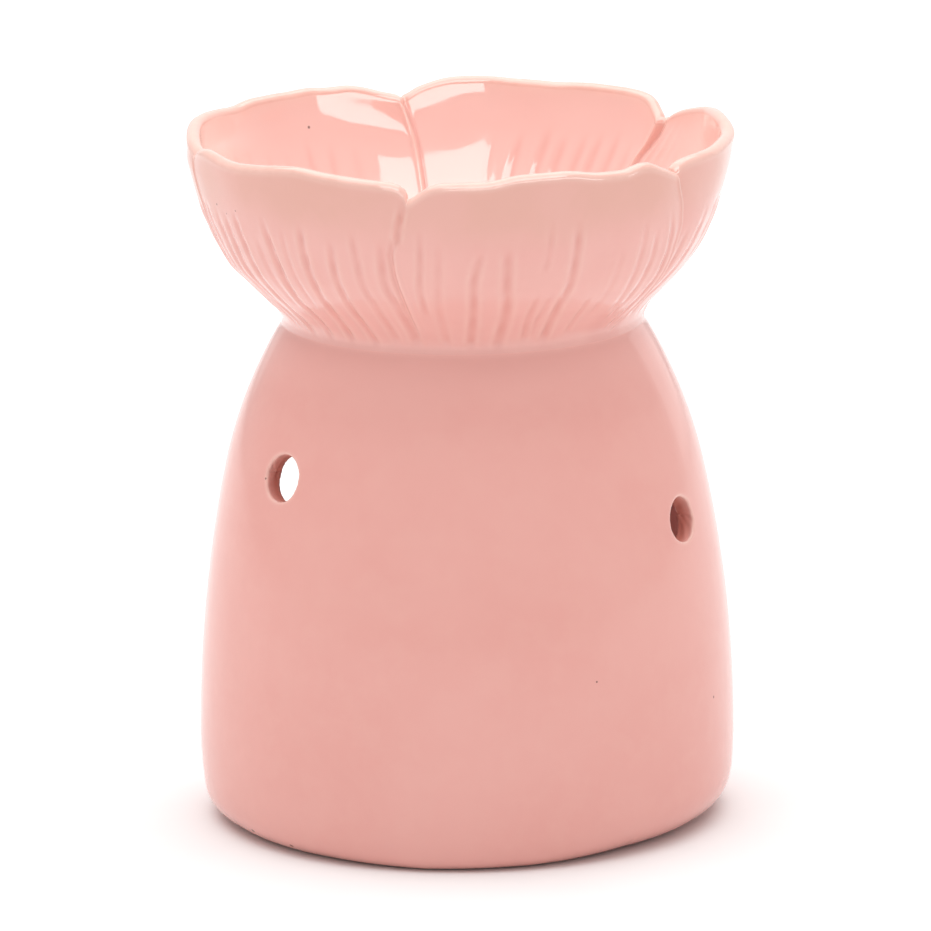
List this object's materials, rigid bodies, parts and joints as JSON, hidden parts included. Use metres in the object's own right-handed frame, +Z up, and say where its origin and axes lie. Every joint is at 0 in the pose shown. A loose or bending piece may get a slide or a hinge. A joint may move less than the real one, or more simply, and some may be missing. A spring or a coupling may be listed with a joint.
{
  "type": "wax melt warmer",
  "caption": "Pink glazed ceramic wax warmer: a flower-petal bowl on a barrel burner with vent holes and a rear arch, heated by a tealight inside.",
  "frame": {"origin": "centre of the foot ring, on the surface the warmer stands on", "axes": "+Z up; the tealight arch opens towards +Y; the side with the two vent holes faces -Y"},
  "size_m": [0.0996, 0.0994, 0.1289],
  "materials": {
    "pink_glaze_body": "gloss glaze",
    "pink_glaze_bowl": "gloss glaze",
    "cup_aluminium": "bright drawn foil",
    "white_wax": "translucent wax",
    "cotton_wick": "braided cotton, waxed",
    "tab_steel": "tinned sheet"
  },
  "bodies": {
    "burner": {"burner_body": "pink_glaze_body", "flower_bowl": "pink_glaze_bowl"},
    "tealight": {"tealight_cup": "cup_aluminium", "tealight_wax": "white_wax", "wick": "cotton_wick", "wick_sustainer": "tab_steel"}
  },
  "joints": [
    {"name": "tealight_slide", "type": "slide", "parent": "burner", "child": "tealight", "axis": [0, 1, 0], "range_m": [-0.02, 0.085]}
  ]
}
